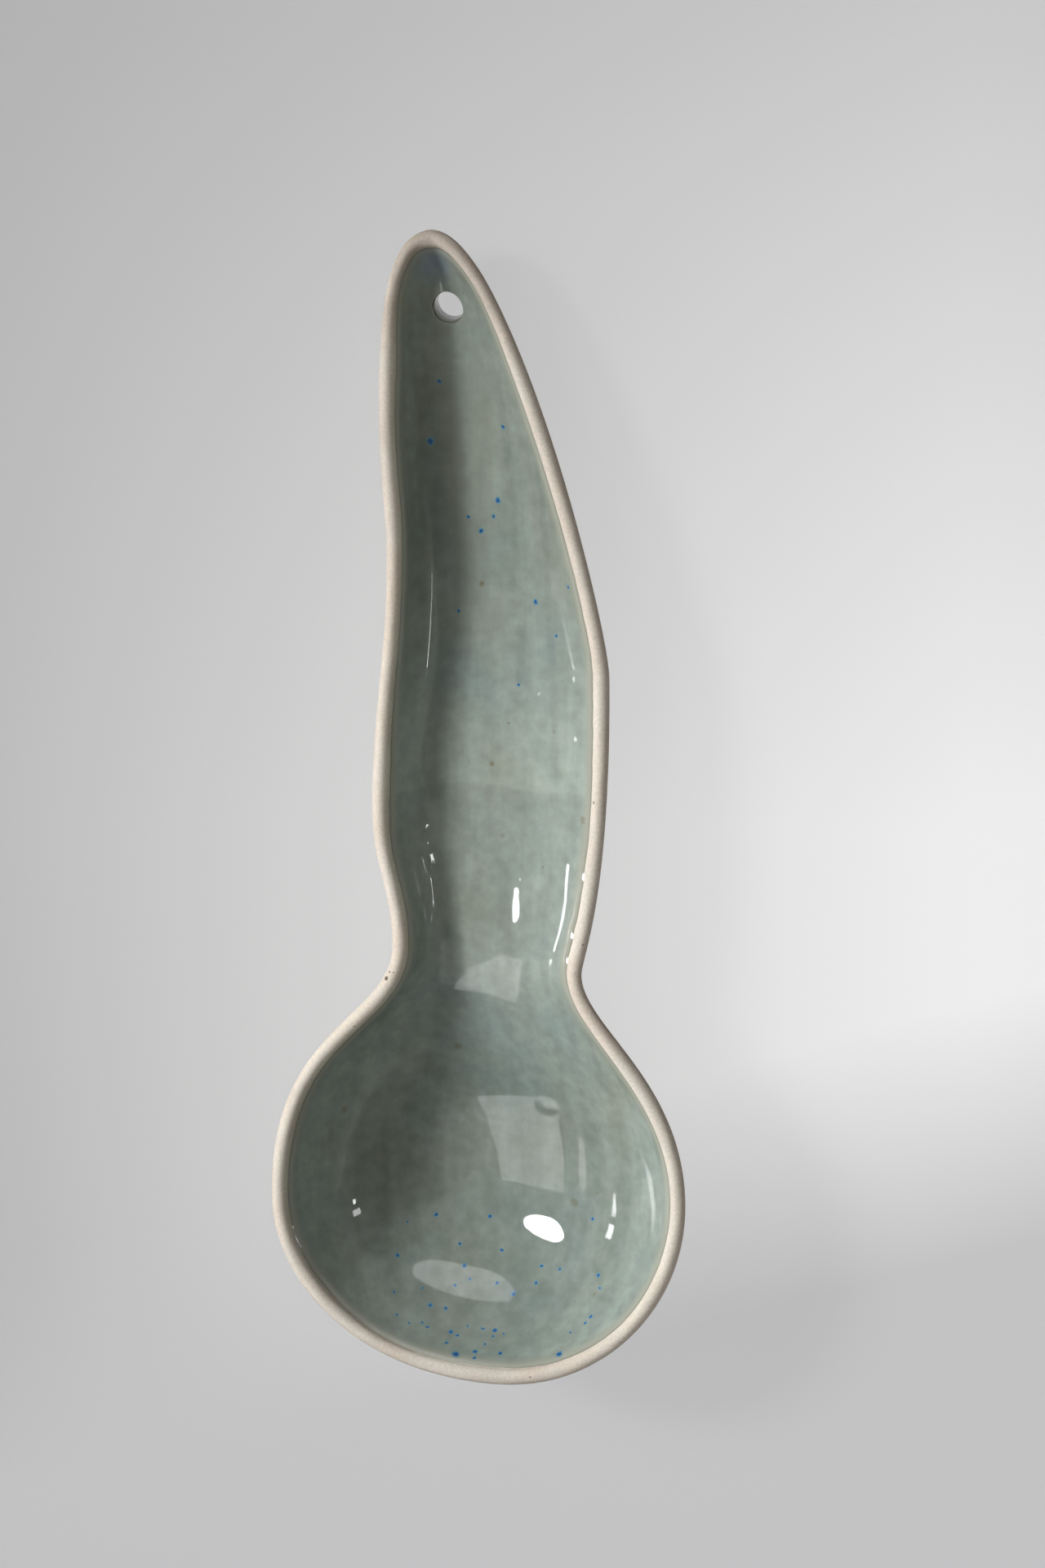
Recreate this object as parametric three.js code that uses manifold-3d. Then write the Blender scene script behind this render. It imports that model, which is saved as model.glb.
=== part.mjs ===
import * as THREE from "three";
import { mergeVertices } from "three/addons/utils/BufferGeometryUtils.js";
import Module from "manifold-3d";

// A hand-built stoneware spoon, lying on its back on a table, in millimetres.
// +Z is up out of the bowl and +Y runs along the handle to its tip.
// The origin is the middle of the flat under the bowl.

// Rim in plan, from the middle of the bowl
const BOWL_FRONT = 40.4; // to the front edge
const FRONT_OFFSET = 6; // the front edge lies this far to the right
const BOWL_LEFT = 42.3;
const BOWL_RIGHT = 44.1;
const NECK_DISTANCE = 48; // to the narrowest place
const NECK_SKEW = 3; // the neck is this much further along on the left and nearer on the right
const NECK_LEFT = 15.7;
const NECK_RIGHT = 23.3;
const HANDLE_LENGTH = 146.2; // neck to tip
const GRIP_LEFT = 19.5; // the handle's fullest place
const GRIP_RIGHT = 29.6;
const WAIST_LEFT = 15.6; // shallow hollow in the left edge, beyond the grip
const UPPER_LEFT = 16.7; // left edge where it begins to round over to the tip
const TIP_OFFSET = 5.3; // the tip lies this far to the left
const VALLEY_OFFSET = 11; // the handle's lowest line lies this far left of its middle

// Heights above the table
const RIM_FRONT = 33;
const RIM_TIP = 15;
const SADDLE_FLOOR = 15.5; // inner floor at the neck
const SHOULDER_DROP = 3.6; // the floor steps down this far just beyond the neck
const TIP_FLOOR = 5.5; // inner floor below the rim of the tip

// Clay and glaze
const WALL = 3.6; // at the rim
const FLOOR_THICKNESS = 5; // before the flats are wiped
const BOWL_FLAT_DEPTH = 1.4; // wiped off under the bowl
const HANDLE_FLAT_DEPTH = 0.6; // wiped off under the handle
const SEAM_DISTANCE = 30; // middle of the bowl to the joint between bowl and handle
const SLIP_THICKNESS = 1.2;
const SEAM_RIDGE = 0.4; // the joint stands this proud on the inside
const GLAZE_THICKNESS = 0.6;

// Hanging hole
const HOLE_DIAMETER = 6.4;
const HOLE_FROM_TIP = 15.5;
const HOLE_OFFSET = 4; // left of the bowl's middle
const HOLE_LEAN = 10; // degrees from upright, the lower end toward the tip
const HOLE_ROUNDING = 0.7; // worn edge at both mouths

// Fineness of the mesh
const BOWL_STATIONS = 7;
const HANDLE_STATIONS = 27;
const FRONT_FAN = 16;
const TIP_FAN = 6;
const ROWS = 10;
const LIP_STEPS = 5;

const tip = new THREE.Vector2(-TIP_OFFSET, NECK_DISTANCE + HANDLE_LENGTH);
const front = new THREE.Vector2(FRONT_OFFSET, -BOWL_FRONT);

// One length of the edge that leaves and arrives along Y, with the two handles as shares of its length
function flowingEdge(from, to, leave, arrive) {
  const length = to.y - from.y;
  const first = new THREE.Vector2(from.x, from.y + leave * length);
  const second = new THREE.Vector2(to.x, to.y - arrive * length);
  return new THREE.CubicBezierCurve(from, first, second, to);
}

// The rounded end of the handle, from a place on its side to the tip
function roundedEnd(from, leave, reach) {
  const first = new THREE.Vector2(from.x, from.y + leave * (tip.y - from.y));
  const second = new THREE.Vector2(tip.x + reach * (from.x - tip.x), tip.y);
  return new THREE.CubicBezierCurve(from, first, second, tip);
}

// A quarter of an ellipse, from the front edge to the bowl's widest place on one side
function frontQuarter(side) {
  const start = -Math.PI / 2;
  const end = side.x > 0 ? 0 : -Math.PI;
  const width = Math.abs(side.x - front.x);
  return new THREE.EllipseCurve(front.x, side.y, width, side.y - front.y, start, end, side.x < 0);
}

function alongHandle(share) {
  return NECK_DISTANCE + share * HANDLE_LENGTH;
}

// Right edge, from the front to the tip
const bowlRight = new THREE.Vector2(BOWL_RIGHT, -0.04 * BOWL_RIGHT);
const neckRight = new THREE.Vector2(NECK_RIGHT, NECK_DISTANCE - NECK_SKEW);
const gripRight = new THREE.Vector2(GRIP_RIGHT, alongHandle(0.39));
const rightEdge = new THREE.CurvePath();
rightEdge.add(frontQuarter(bowlRight));
rightEdge.add(flowingEdge(bowlRight, neckRight, 0.54, 0.22));
rightEdge.add(flowingEdge(neckRight, gripRight, 0.06, 0.74));
rightEdge.add(roundedEnd(gripRight, 0.13, 0.44));

// Left edge, from the front to the tip
const bowlLeft = new THREE.Vector2(-BOWL_LEFT, -0.06 * BOWL_LEFT);
const neckLeft = new THREE.Vector2(-NECK_LEFT, NECK_DISTANCE + NECK_SKEW);
const gripLeft = new THREE.Vector2(-GRIP_LEFT, alongHandle(0.2));
const waistLeft = new THREE.Vector2(-WAIST_LEFT, alongHandle(0.56));
const upperLeft = new THREE.Vector2(-UPPER_LEFT, alongHandle(0.73));
const leftEdge = new THREE.CurvePath();
leftEdge.add(frontQuarter(bowlLeft));
leftEdge.add(flowingEdge(bowlLeft, neckLeft, 0.68, 0.3));
leftEdge.add(flowingEdge(neckLeft, gripLeft, 0.4, 0.4));
leftEdge.add(flowingEdge(gripLeft, waistLeft, 0.4, 0.4));
leftEdge.add(flowingEdge(waistLeft, upperLeft, 0.4, 0.4));
leftEdge.add(roundedEnd(upperLeft, 0.68, 0.71));

// Lowest line of the hollow, from the middle of the bowl to the tip
const valley = new THREE.SplineCurve([
  new THREE.Vector2(-VALLEY_OFFSET / 2, 0),
  new THREE.Vector2((NECK_RIGHT - NECK_LEFT) / 2 - VALLEY_OFFSET, NECK_DISTANCE),
  new THREE.Vector2((GRIP_RIGHT - GRIP_LEFT) / 2 - VALLEY_OFFSET, alongHandle(0.3)),
  new THREE.Vector2(-0.75 * VALLEY_OFFSET, alongHandle(0.7)),
  new THREE.Vector2(-TIP_OFFSET + VALLEY_OFFSET / 5, alongHandle(1)),
]);

// Share of the way along a curve where it passes a given Y
function shareAt(curve, y) {
  let low = 0;
  let high = 1;
  for (let step = 0; step < 40; step += 1) {
    const middle = (low + high) / 2;
    if (curve.getPoint(middle).y < y) {
      low = middle;
    } else {
      high = middle;
    }
  }
  return (low + high) / 2;
}

function rimHeight(y) {
  return THREE.MathUtils.mapLinear(y, front.y, tip.y, RIM_FRONT, RIM_TIP);
}

// Inner floor on the lowest line: level in the bowl, up to the saddle, down into the handle, up at the tip
function floorHeight(y) {
  const bowlFloor = FLOOR_THICKNESS - BOWL_FLAT_DEPTH;
  const handleFloor = FLOOR_THICKNESS - HANDLE_FLAT_DEPTH;
  const toSaddle = THREE.MathUtils.smoothstep(y, 0, NECK_DISTANCE);
  const toShoulder = THREE.MathUtils.smoothstep(y, NECK_DISTANCE, alongHandle(0.14));
  const toHandle = THREE.MathUtils.smoothstep(y, NECK_DISTANCE, alongHandle(0.7));
  const toTip = THREE.MathUtils.smoothstep(y, alongHandle(0.65), alongHandle(1));
  const saddle = THREE.MathUtils.lerp(bowlFloor, SADDLE_FLOOR, toSaddle);
  const shoulder = (SADDLE_FLOOR - handleFloor - SHOULDER_DROP) * toHandle + SHOULDER_DROP * toShoulder;
  return THREE.MathUtils.lerp(saddle - shoulder, TIP_FLOOR, toTip);
}

// Where the rib that starts on the edge at a given Y meets the lowest line.
// The ribs of the bowl draw together at its middle and those of the tip near its end.
function footAlong(y) {
  if (y < NECK_DISTANCE) {
    const share = y / NECK_DISTANCE;
    return NECK_DISTANCE * share * share * (2 - share);
  }
  const taper = alongHandle(0.77);
  if (y > taper) {
    const share = (y - taper) / (tip.y - taper);
    return taper + (tip.y - taper) * (share - share * share / 2);
  }
  return y;
}

function spread(from, to, count) {
  return Array.from({ length: count }, (_, step) => from + (to - from) * step / (count - 1));
}

// Stations along the sides, with the two faces of the slip as neighbours
const seamBowl = SEAM_DISTANCE - SLIP_THICKNESS / 2;
const seamHandle = SEAM_DISTANCE + SLIP_THICKNESS / 2;
const stations = [
  ...spread(0, seamBowl, BOWL_STATIONS),
  ...spread(seamHandle, alongHandle(0.94), HANDLE_STATIONS),
];
const lastStation = stations.length - 1;

// Ribs counter-clockwise round the rim: up the right side, round the tip, down the left, round the front
const ribs = [];
stations.forEach((y, foot) => {
  ribs.push({ edge: rightEdge.getPoint(shareAt(rightEdge, y)), foot });
});
const tipRight = spread(shareAt(rightEdge, stations[lastStation]), 1, TIP_FAN + 1);
tipRight.slice(1).forEach((share) => {
  ribs.push({ edge: rightEdge.getPoint(share), foot: lastStation });
});
const tipLeft = spread(1, shareAt(leftEdge, stations[lastStation]), TIP_FAN + 1);
tipLeft.slice(1, -1).forEach((share) => {
  ribs.push({ edge: leftEdge.getPoint(share), foot: lastStation });
});
for (let foot = lastStation; foot >= 0; foot -= 1) {
  ribs.push({ edge: leftEdge.getPoint(shareAt(leftEdge, stations[foot])), foot });
}
const frontLeft = spread(shareAt(leftEdge, 0), 0, FRONT_FAN + 1);
frontLeft.slice(1).forEach((share) => {
  ribs.push({ edge: leftEdge.getPoint(share), foot: 0 });
});
const frontRight = spread(0, shareAt(rightEdge, 0), FRONT_FAN + 1);
frontRight.slice(1, -1).forEach((share) => {
  ribs.push({ edge: rightEdge.getPoint(share), foot: 0 });
});

function neighbour(rib, step) {
  return (rib + step + ribs.length) % ribs.length;
}

function ribPoint(rib, row) {
  return rib * ROWS + row;
}

function footPoint(foot) {
  return ribs.length * ROWS + foot;
}

// Index of a point of the inner surface: rows run from the rim down to the lowest line
function surfacePoint(rib, row) {
  return row < ROWS ? ribPoint(rib, row) : footPoint(ribs[rib].foot);
}

// Inner surface of the clay
const feet = stations.map((y) => valley.getPoint(shareAt(valley, footAlong(y))));
const inner = [];
const depthShares = [];
ribs.forEach((rib, index) => {
  const before = ribs[neighbour(index, -1)].edge;
  const after = ribs[neighbour(index, 1)].edge;
  const inward = new THREE.Vector2(before.y - after.y, after.x - before.x).normalize();
  const start = rib.edge.clone().addScaledVector(inward, WALL);
  const startHeight = rimHeight(rib.edge.y) - WALL / 2;
  for (let row = 0; row < ROWS; row += 1) {
    const angle = (Math.PI / 2) * (row / ROWS);
    const place = start.clone().lerp(feet[rib.foot], 1 - Math.cos(angle));
    const drop = Math.pow(1 - Math.pow(Math.cos(angle), 2), 0.74);
    const onSeam = [BOWL_STATIONS - 1, BOWL_STATIONS].includes(rib.foot);
    const ridge = onSeam ? SEAM_RIDGE * drop : 0;
    const height = THREE.MathUtils.lerp(startHeight, floorHeight(place.y), drop) + ridge;
    inner.push(new THREE.Vector3(place.x, place.y, height));
    depthShares.push(drop);
  }
});
feet.forEach((place, foot) => {
  const ridge = [BOWL_STATIONS - 1, BOWL_STATIONS].includes(foot) ? SEAM_RIDGE : 0;
  inner.push(new THREE.Vector3(place.x, place.y, floorHeight(place.y) + ridge));
  depthShares.push(1);
});

// Triangles of the inner surface between one rib and the next, facing up
function stripTriangles(rib) {
  const next = neighbour(rib, 1);
  const triangles = [];
  for (let row = 0; row < ROWS; row += 1) {
    const a = surfacePoint(rib, row);
    const b = surfacePoint(next, row);
    const c = surfacePoint(next, row + 1);
    const d = surfacePoint(rib, row + 1);
    triangles.push([a, b, c]);
    if (c !== d) {
      triangles.push([a, c, d]);
    }
  }
  return triangles;
}

function geometryFrom(points, triangles) {
  const geometry = new THREE.BufferGeometry();
  geometry.setFromPoints(points);
  geometry.setIndex(triangles.flat());
  return geometry;
}

const everyRib = ribs.map((_, index) => index);
const innerGeometry = geometryFrom(inner, everyRib.flatMap((rib) => stripTriangles(rib)));
innerGeometry.computeVertexNormals();
const normals = inner.map((_, index) => {
  return new THREE.Vector3().fromBufferAttribute(innerGeometry.getAttribute("normal"), index);
});

// Outer surface of the clay, thicker toward the floor
const outer = inner.map((point, index) => {
  const thickness = THREE.MathUtils.lerp(WALL, FLOOR_THICKNESS, depthShares[index]);
  return point.clone().addScaledVector(normals[index], -thickness);
});

// Half-round lip of the rim over each rib, without its two ends on the inner and outer surface
const lip = ribs.flatMap((_, rib) => {
  const insideEdge = inner[ribPoint(rib, 0)];
  const outsideEdge = outer[ribPoint(rib, 0)];
  const along = inner[ribPoint(neighbour(rib, 1), 0)].clone().sub(inner[ribPoint(neighbour(rib, -1), 0)]);
  const across = insideEdge.clone().sub(outsideEdge).divideScalar(2);
  const upward = along.cross(across).setLength(across.length());
  const middle = insideEdge.clone().add(outsideEdge).divideScalar(2);
  return spread(0, Math.PI, LIP_STEPS + 1).slice(1, -1).map((angle) => {
    const point = middle.clone().addScaledVector(across, Math.cos(angle));
    return point.addScaledVector(upward, Math.sin(angle));
  });
});

const clayPoints = [...inner, ...outer, ...lip];

function outerPoint(rib, row) {
  return inner.length + surfacePoint(rib, row);
}

function lipPoint(rib, step) {
  if (step === 0) {
    return surfacePoint(rib, 0);
  }
  if (step === LIP_STEPS) {
    return outerPoint(rib, 0);
  }
  return 2 * inner.length + rib * (LIP_STEPS - 1) + step - 1;
}

function flipped(triangles) {
  return triangles.map(([a, b, c]) => [a, c, b]);
}

// Clay between one rib and the next: inside, outside and lip
function clayStrip(rib) {
  const next = neighbour(rib, 1);
  const upper = stripTriangles(rib);
  const lower = flipped(upper).map((triangle) => triangle.map((index) => index + inner.length));
  const rim = [];
  for (let step = 0; step < LIP_STEPS; step += 1) {
    const a = lipPoint(rib, step);
    const b = lipPoint(next, step);
    const c = lipPoint(next, step + 1);
    const d = lipPoint(rib, step + 1);
    rim.push([a, c, b], [a, d, c]);
  }
  return [...upper, ...lower, ...rim];
}

// Cut face of the clay at one rib, facing on round the rim
function cutFace(rib) {
  const triangles = [];
  for (let row = 0; row < ROWS; row += 1) {
    const a = surfacePoint(rib, row);
    const b = surfacePoint(rib, row + 1);
    const c = outerPoint(rib, row + 1);
    const d = outerPoint(rib, row);
    triangles.push([a, c, b], [a, d, c]);
  }
  for (let step = 1; step < LIP_STEPS; step += 1) {
    triangles.push([lipPoint(rib, 0), lipPoint(rib, step), lipPoint(rib, step + 1)]);
  }
  return triangles;
}

// Closed clay over one or more runs of ribs, each run given by its first and last rib
function clayPiece(runs) {
  const triangles = [];
  runs.forEach(([first, last]) => {
    for (let rib = first; rib !== last; rib = neighbour(rib, 1)) {
      triangles.push(...clayStrip(rib));
    }
    triangles.push(...flipped(cutFace(first)), ...cutFace(last));
  });
  return geometryFrom(clayPoints, triangles);
}

const wasm = await Module();
wasm.setup();

function solidFrom(geometry) {
  const bare = geometry.clone();
  bare.deleteAttribute("normal");
  bare.deleteAttribute("uv");
  const merged = mergeVertices(bare, 1e-4);
  const vertProperties = new Float32Array(merged.getAttribute("position").array);
  const triVerts = new Uint32Array(merged.index.array);
  return new wasm.Manifold(new wasm.Mesh({ numProp: 3, vertProperties, triVerts }));
}

function geometryOf(solid) {
  const mesh = solid.getMesh();
  const geometry = new THREE.BufferGeometry();
  geometry.setAttribute("position", new THREE.BufferAttribute(mesh.vertProperties, 3));
  geometry.setIndex(new THREE.BufferAttribute(mesh.triVerts, 1));
  geometry.computeVertexNormals();
  return geometry;
}

// Everything below the table, which wipes the flats
const underTable = new THREE.BoxGeometry(4 * BOWL_LEFT + 4 * BOWL_RIGHT, 4 * tip.y, 40);
underTable.translate(0, 0, -20);

// Punch of the hanging hole, a turned rod that swells at the two mouths
const holeY = tip.y - HOLE_FROM_TIP;
const holeMiddle = floorHeight(holeY) - FLOOR_THICKNESS / 2;
function punch(radius, rounding) {
  const reach = FLOOR_THICKNESS * 3;
  const half = FLOOR_THICKNESS / 2;
  const profile = [
    new THREE.Vector2(0, -reach),
    new THREE.Vector2(radius + rounding, -reach),
    new THREE.Vector2(radius + rounding, -half),
    new THREE.Vector2(radius, -half + rounding),
    new THREE.Vector2(radius, half - rounding),
    new THREE.Vector2(radius + rounding, half),
    new THREE.Vector2(radius + rounding, reach),
    new THREE.Vector2(0, reach),
  ];
  const geometry = new THREE.LatheGeometry(profile, 32);
  geometry.rotateX(Math.PI / 2 + THREE.MathUtils.degToRad(HOLE_LEAN));
  geometry.translate(-HOLE_OFFSET, holeY, holeMiddle);
  return geometry;
}

// Bowl, handle and the slip between them
const leftOf = (foot) => ribs.findLastIndex((rib, index) => rib.foot === foot && index > lastStation);
const bowlFace = BOWL_STATIONS - 1;
const handleFace = BOWL_STATIONS;
const bowlClay = clayPiece([[leftOf(bowlFace), bowlFace]]);
const handleClay = clayPiece([[handleFace, leftOf(handleFace)]]);
const slipClay = clayPiece([[bowlFace, handleFace], [leftOf(handleFace), leftOf(bowlFace)]]);
const bowlSolid = solidFrom(bowlClay).subtract(solidFrom(underTable));
const clayPunch = solidFrom(punch(HOLE_DIAMETER / 2, HOLE_ROUNDING));
const handleSolid = solidFrom(handleClay).subtract(solidFrom(underTable)).subtract(clayPunch);
const slipSolid = solidFrom(slipClay).subtract(solidFrom(underTable));

// Glaze on the inner surface, thinning out to nothing along its upper edge
const glazeTop = inner.map((point, index) => point.clone().addScaledVector(normals[index], GLAZE_THICKNESS));
const glazeTriangles = everyRib.flatMap((rib) => {
  const lower = flipped(stripTriangles(rib));
  const isEdge = (index) => index < ribs.length * ROWS && index % ROWS === 0;
  const upper = stripTriangles(rib).map((triangle) => {
    return triangle.map((index) => (isEdge(index) ? index : index + inner.length));
  });
  return [...lower, ...upper];
});
const glazePunch = solidFrom(punch(HOLE_DIAMETER / 2 + HOLE_ROUNDING, 0));
const glazeSolid = solidFrom(geometryFrom([...inner, ...glazeTop], glazeTriangles)).subtract(glazePunch);

const clay = new THREE.MeshStandardMaterial({ color: 0xcdc0ad, roughness: 0.9, metalness: 0 });
const slip = new THREE.MeshStandardMaterial({ color: 0xc2b39f, roughness: 0.9, metalness: 0 });
const glaze = new THREE.MeshStandardMaterial({ color: 0x96a296, roughness: 0.12, metalness: 0 });

function piece(name, solid, material) {
  const mesh = new THREE.Mesh(geometryOf(solid), material);
  mesh.name = name;
  return mesh;
}

const spoon = new THREE.Group();
spoon.add(piece("bowl", bowlSolid, clay));
spoon.add(piece("handle", handleSolid, clay));
spoon.add(piece("luting_slip", slipSolid, slip));
spoon.add(piece("glaze_lining", glazeSolid, glaze));

export default spoon;
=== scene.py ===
import math

import bmesh
import bpy
import numpy as np
from mathutils import Matrix, Vector, noise
from mathutils.bvhtree import BVHTree


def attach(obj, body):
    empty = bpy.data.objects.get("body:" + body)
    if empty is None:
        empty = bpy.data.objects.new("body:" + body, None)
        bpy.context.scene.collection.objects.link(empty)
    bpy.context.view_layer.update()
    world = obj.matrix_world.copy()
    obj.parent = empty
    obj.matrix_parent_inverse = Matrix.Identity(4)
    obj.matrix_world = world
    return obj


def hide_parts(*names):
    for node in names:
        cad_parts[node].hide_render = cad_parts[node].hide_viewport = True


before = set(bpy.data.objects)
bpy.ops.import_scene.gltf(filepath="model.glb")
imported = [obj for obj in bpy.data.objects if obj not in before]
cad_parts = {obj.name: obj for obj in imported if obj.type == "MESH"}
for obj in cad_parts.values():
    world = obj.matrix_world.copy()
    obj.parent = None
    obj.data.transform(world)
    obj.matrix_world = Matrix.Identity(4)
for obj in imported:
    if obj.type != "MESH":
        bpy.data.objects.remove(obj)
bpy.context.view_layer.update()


# Camera
# It looks down into the spoon from its right and a little from beyond the tip. The picture it takes is
# 1280 pixels wide and 1920 high.
picture_size = (1280, 1920)
camera_lens = bpy.data.cameras.new("camera")
camera_lens.lens = 90
camera_lens.sensor_fit = "VERTICAL"
camera_lens.sensor_height = 36
camera_lens.clip_start = 0.01
camera = bpy.data.objects.new("camera", camera_lens)
camera_place = (0.16314, 0.24286, 0.77953)
camera_back = Vector((0.20, 0.21, 1)).normalized()
camera_up = (Vector((0, 1, 0)) - camera_back * camera_back.y).normalized()
camera_right = camera_up.cross(camera_back)
camera_turn = Matrix((camera_right, camera_up, camera_back)).transposed().to_4x4()
camera_roll = Matrix.Rotation(-0.028, 4, "Z")  # held a little askew
camera.matrix_world = Matrix.Translation(camera_place) @ camera_turn @ camera_roll
bpy.context.scene.collection.objects.link(camera)
bpy.context.scene.camera = camera
bpy.context.scene.view_settings.view_transform = "Standard"


def line_of_sight(pixel):
    """Direction from the camera through a pixel of its picture, counted from the upper left corner."""
    across = pixel[0] - picture_size[0] / 2
    down = pixel[1] - picture_size[1] / 2
    reach = picture_size[1] * camera_lens.lens / camera_lens.sensor_height
    return camera.matrix_world.to_3x3() @ Vector((across, -down, -reach)).normalized()


# Bowl
# Buff stoneware, pinched out of a ball into a round dish about 87 mm across with a wall of 3 to 5 mm.
# Its rim is trimmed, sponged round and left bare, and its underside is wiped flat so that the spoon lies
# steady. The rim runs on into the handle, so the form of the whole spoon starts here.
mm = 0.001
bowl_front = 40.4 * mm  # from the middle of the bowl to the front edge
front_offset = 6 * mm  # the front edge lies this far to the right
bowl_left = 42.3 * mm
bowl_right = 44.1 * mm
widest_left = 0.06 * bowl_left  # the widest places lie this far toward the front
widest_right = 0.04 * bowl_right
neck_distance = 48 * mm  # from the middle of the bowl to the narrowest place
neck_skew = 3 * mm  # the neck lies further along on the left and nearer on the right
neck_left = 15.7 * mm
neck_right = 23.3 * mm
handle_length = 146.2 * mm  # from the neck to the tip
grip_left = 19.5 * mm  # the fullest place of the handle
grip_right = 29.6 * mm
waist_left = 15.6 * mm  # shallow hollow in the left edge beyond the grip
upper_left = 16.7 * mm  # left edge where it begins to round over to the tip
tip_offset = 5.3 * mm  # the tip lies this far to the left
valley_offset = 11 * mm  # the lowest line of the handle lies this far left of its middle
rim_front = 33 * mm  # heights above the table
rim_tip = 15 * mm
saddle_floor = 15.5 * mm
shoulder_drop = 2.3 * mm  # the floor steps down this far just beyond the neck
tip_floor = 5.5 * mm
wall = 3.6 * mm
rim_thickness = 3.1 * mm  # sponged a little thinner than the wall below it
rim_tilt = 0.6 * mm  # the rim is this much higher on its outside
floor_thickness = 5 * mm
bowl_floor = floor_thickness - 1.4 * mm  # after the flats are wiped
handle_floor = floor_thickness - 0.6 * mm
seam_distance = 30 * mm  # from the middle of the bowl to the joint with the handle
slip_thickness = 1.2 * mm
seam_ridge = 0.2 * mm  # the joint stands this proud on the inside
seam_reach = 1.6 * mm  # half the width of that ridge
hollow_fullness = 0.74  # 0.5 is the profile of an ellipse, and more gives walls that slope
edge_points = 160  # on each length of the outline
rib_spacing = 0.7 * mm
row_count = 46  # points on a rib from the rim to the lowest line
lip_steps = 14


def along_handle(share):
    """A place along the handle, from 0 at the neck to 1 at the tip."""
    return neck_distance + share * handle_length


tip = np.array([-tip_offset, along_handle(1)])
front = np.array([front_offset, -bowl_front])


def bend(start, first, second, end):
    """A smooth curve from start to end, drawn toward two points on the way."""
    share = np.linspace(0, 1, edge_points)[:, None]
    rest = 1 - share
    return rest**3 * start + 3 * rest**2 * share * first + 3 * rest * share**2 * second + share**3 * end


def flowing_edge(start, end, leave, arrive):
    """A length of the edge that leaves and arrives along Y, held straight for those shares of its rise."""
    rise = np.array([0, end[1] - start[1]])
    return bend(start, start + leave * rise, end - arrive * rise, end)


def rounded_end(start, leave, reach):
    """The end of the handle, from a place on its side over to the tip."""
    first = start + np.array([0, leave * (tip[1] - start[1])])
    second = tip + np.array([reach * (start[0] - tip[0]), 0])
    return bend(start, first, second, tip)


def front_quarter(side):
    """A quarter of an ellipse, from the front edge to the widest place of the bowl on one side."""
    turn = np.linspace(0, math.pi / 2, edge_points)
    x = front[0] + (side[0] - front[0]) * np.sin(turn)
    y = side[1] + (front[1] - side[1]) * np.cos(turn)
    return np.column_stack([x, y])


def joined(*lengths):
    """One line out of lengths that each start where the last one ends."""
    return np.concatenate([lengths[0]] + [length[1:] for length in lengths[1:]])


side_right = np.array([bowl_right, -widest_right])
neck_on_right = np.array([neck_right, neck_distance - neck_skew])
grip_on_right = np.array([grip_right, along_handle(0.39)])
right_edge = joined(
    front_quarter(side_right),
    flowing_edge(side_right, neck_on_right, leave=0.54, arrive=0.22),
    flowing_edge(neck_on_right, grip_on_right, leave=0.06, arrive=0.74),
    rounded_end(grip_on_right, leave=0.13, reach=0.44),
)
side_left = np.array([-bowl_left, -widest_left])
neck_on_left = np.array([-neck_left, neck_distance + neck_skew])
grip_on_left = np.array([-grip_left, along_handle(0.2)])
waist_on_left = np.array([-waist_left, along_handle(0.56)])
upper_on_left = np.array([-upper_left, along_handle(0.73)])
left_edge = joined(
    front_quarter(side_left),
    flowing_edge(side_left, neck_on_left, leave=0.68, arrive=0.3),
    flowing_edge(neck_on_left, grip_on_left, leave=0.4, arrive=0.4),
    flowing_edge(grip_on_left, waist_on_left, leave=0.4, arrive=0.4),
    flowing_edge(waist_on_left, upper_on_left, leave=0.4, arrive=0.4),
    rounded_end(upper_on_left, leave=0.68, reach=0.71),
)


def smooth_line(points):
    """A line that runs smoothly through a few points."""
    steps = 60  # between one point and the next
    first = 2 * points[0] - points[1]
    last = 2 * points[-1] - points[-2]
    points = np.array([first, *points, last])
    share = np.linspace(0, 1, steps)[:, None]
    lengths = []
    for before, start, end, after in zip(points, points[1:], points[2:], points[3:]):
        leave = (end - before) / 2
        arrive = (after - start) / 2
        cubic = (2 * start - 2 * end + leave + arrive) * share**3
        square = (3 * end - 3 * start - 2 * leave - arrive) * share**2
        lengths.append(cubic + square + leave * share + start)
    return joined(*lengths)


# Lowest line of the hollow, from the middle of the bowl to the tip
valley = smooth_line(np.array([
    [-valley_offset / 2, 0],
    [(neck_right - neck_left) / 2 - valley_offset, neck_distance],
    [(grip_right - grip_left) / 2 - valley_offset, along_handle(0.3)],
    [-0.75 * valley_offset, along_handle(0.7)],
    [-tip_offset + valley_offset / 5, along_handle(1)],
]))


def across(edge, y):
    """How far to the right an edge lies at places along the spoon."""
    return np.interp(y, edge[:, 1], edge[:, 0])


def ease(y, start, end):
    """0 up to the start and 1 from the end on, with a soft rise between them."""
    share = np.clip((y - start) / (end - start), 0, 1)
    return share * share * (3 - 2 * share)


saddle_delay = 1.17  # above 1 where the floor rises late, near the neck
shoulder_end = along_handle(0.14)
slope_end = along_handle(0.8)
tip_rise_start = along_handle(0.65)


def floor_height(y):
    """Floor on the lowest line: level in the bowl, up to the saddle, down in the handle, up at the tip."""
    rise = np.clip(y / neck_distance, 0, 1) ** saddle_delay
    saddle = bowl_floor + (saddle_floor - bowl_floor) * ease(rise, 0, 1)
    shoulder = shoulder_drop * ease(y, neck_distance, shoulder_end)
    slope = (saddle_floor - handle_floor - shoulder_drop) * ease(y, neck_distance, slope_end)
    trough = saddle - shoulder - slope
    return trough + (tip_floor - trough) * ease(y, tip_rise_start, along_handle(1))


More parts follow.
